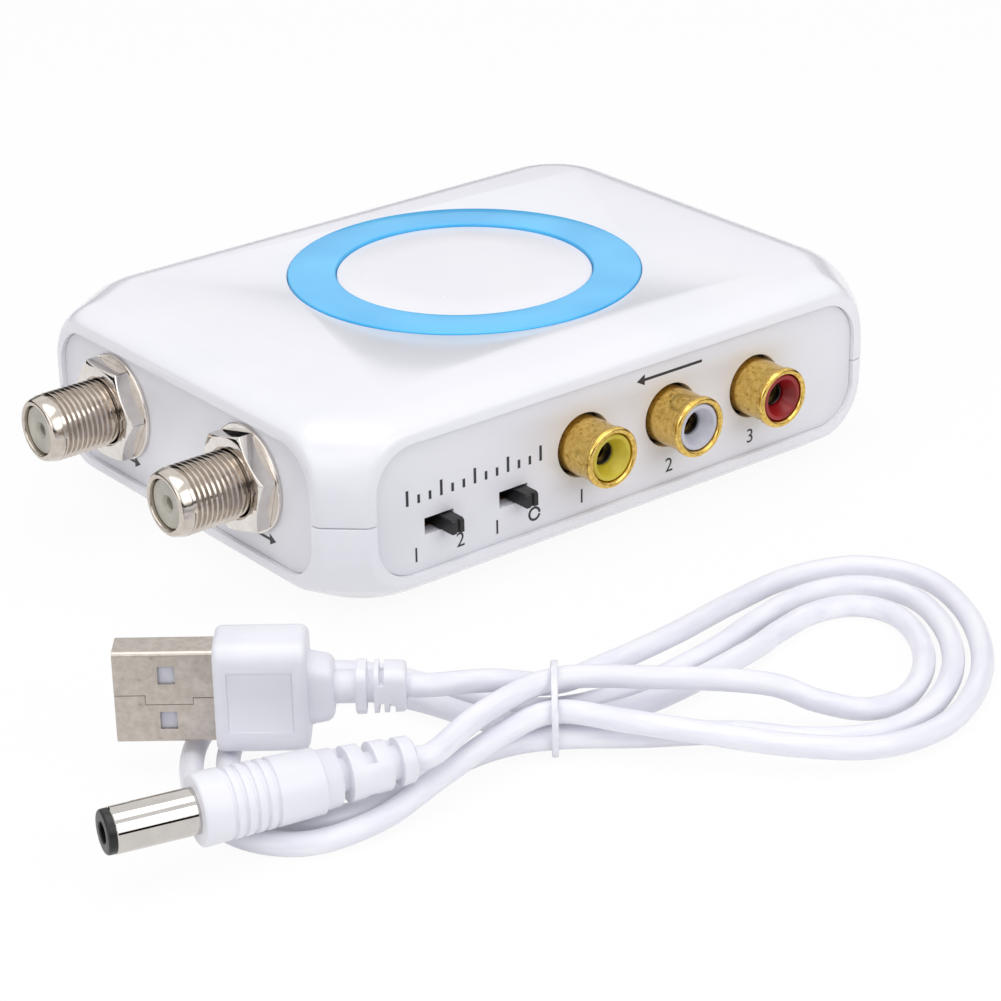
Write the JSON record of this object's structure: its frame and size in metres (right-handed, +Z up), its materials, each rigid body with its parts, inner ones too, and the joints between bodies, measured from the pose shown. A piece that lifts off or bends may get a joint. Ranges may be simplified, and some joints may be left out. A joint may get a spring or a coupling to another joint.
{
  "type": "rf modulator",
  "caption": "Small white RF modulator with a lit ring, threaded aerial sockets, phono inputs and slide switches, with its USB power lead tied in a hank.",
  "frame": {"origin": "under the middle of the case with its sockets, without the lead, on the surface it stands on", "axes": "+X to the right along the front panel, +Y to the back, +Z up; aerial sockets point to -X and phono sockets to -Y"},
  "size_m": [0.1563, 0.1446, 0.0286],
  "materials": {
    "white_gloss": "satin",
    "white_panel": "fine grain",
    "blue_lens": "frosted",
    "disc_white": "gloss",
    "board_green": "solder mask",
    "led_clear": "clear",
    "zinc_steel": "zinc plated",
    "tin_plate": "tinned",
    "nickel": "nickel plated",
    "gold_plate": "gold plated",
    "black_plastic": "moulded",
    "brown_plastic": "moulded",
    "ivory_plastic": "moulded",
    "yellow_plastic": "moulded",
    "white_plastic": "moulded",
    "red_plastic": "moulded",
    "blue_sleeve": "shrink sleeve",
    "rubber_grey": "moulded",
    "lead_white": "soft PVC",
    "switch_brass": "dull"
  },
  "bodies": {
    "root": {"top_cover": "white_gloss", "bottom_case": "white_gloss", "front_panel": "white_panel", "end_panel": "white_panel", "light_ring": "blue_lens", "centre_disc": "disc_white", "light_board": "board_green", "ring_leds": "led_clear", "light_board_screws": "zinc_steel", "light_header": "black_plastic", "main_board": "board_green", "board_screws": "zinc_steel", "rf_can": "tin_plate", "rf_can_lid": "tin_plate", "modulator_chip": "black_plastic", "tuning_coil": "tin_plate", "crystal": "nickel", "capacitors": "blue_sleeve", "regulator": "black_plastic", "f_barrel_in": "nickel", "f_barrel_out": "nickel", "f_insulators": "ivory_plastic", "f_contacts": "gold_plate", "f_nuts": "nickel", "f_washers": "nickel", "rca_block": "black_plastic", "rca_shell_video": "gold_plate", "rca_shell_left": "gold_plate", "rca_shell_right": "gold_plate", "rca_insert_video": "yellow_plastic", "rca_insert_left": "white_plastic", "rca_insert_right": "red_plastic", "rca_contacts": "gold_plate", "channel_switch_frame": "switch_brass", "channel_switch_base": "brown_plastic", "power_switch_frame": "switch_brass", "power_switch_base": "brown_plastic", "dc_jack_body": "black_plastic", "dc_jack_pin": "nickel", "cover_screws": "zinc_steel", "rubber_feet": "rubber_grey", "usb_shell": "nickel", "usb_tongue": "white_plastic", "usb_contacts": "gold_plate", "usb_overmould": "lead_white", "dc_plug_barrel": "nickel", "dc_plug_tip": "black_plastic", "dc_overmould": "lead_white", "lead_cord": "lead_white", "lead_tie": "lead_white"},
    "channel_lever": {"channel_lever": "black_plastic"},
    "power_lever": {"power_lever": "black_plastic"}
  },
  "joints": [
    {"name": "channel_slide", "type": "slide", "parent": "root", "child": "channel_lever", "axis": [-1, 0, 0], "range_m": [0, 0.002]},
    {"name": "power_slide", "type": "slide", "parent": "root", "child": "power_lever", "axis": [-1, 0, 0], "range_m": [0, 0.002]}
  ]
}
